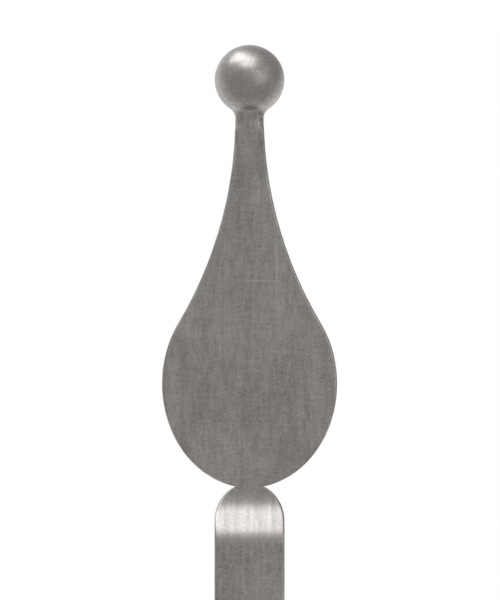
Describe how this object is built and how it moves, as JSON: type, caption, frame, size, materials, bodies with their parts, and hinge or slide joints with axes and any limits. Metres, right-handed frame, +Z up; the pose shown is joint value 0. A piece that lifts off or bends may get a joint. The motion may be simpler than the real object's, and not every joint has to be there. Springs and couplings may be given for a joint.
{
  "type": "fence picket",
  "caption": "Forged square-bar fence picket: the bar's half-round top thins into a flat teardrop leaf, which narrows to a neck under a ball.",
  "frame": {"origin": "centre of the bar's sawn foot, where the picket is welded to a rail or set in the ground", "axes": "+Z up along the bar to the ball, X across the leaf's width, -Y out of the leaf's front face and +Y out of its back face"},
  "size_m": [0.0478, 0.019, 1],
  "materials": {
    "bare_steel": "bare forged steel, satin, with fine crossed hairlines"
  },
  "bodies": {
    "root": {"picket": "bare_steel"}
  },
  "joints": []
}
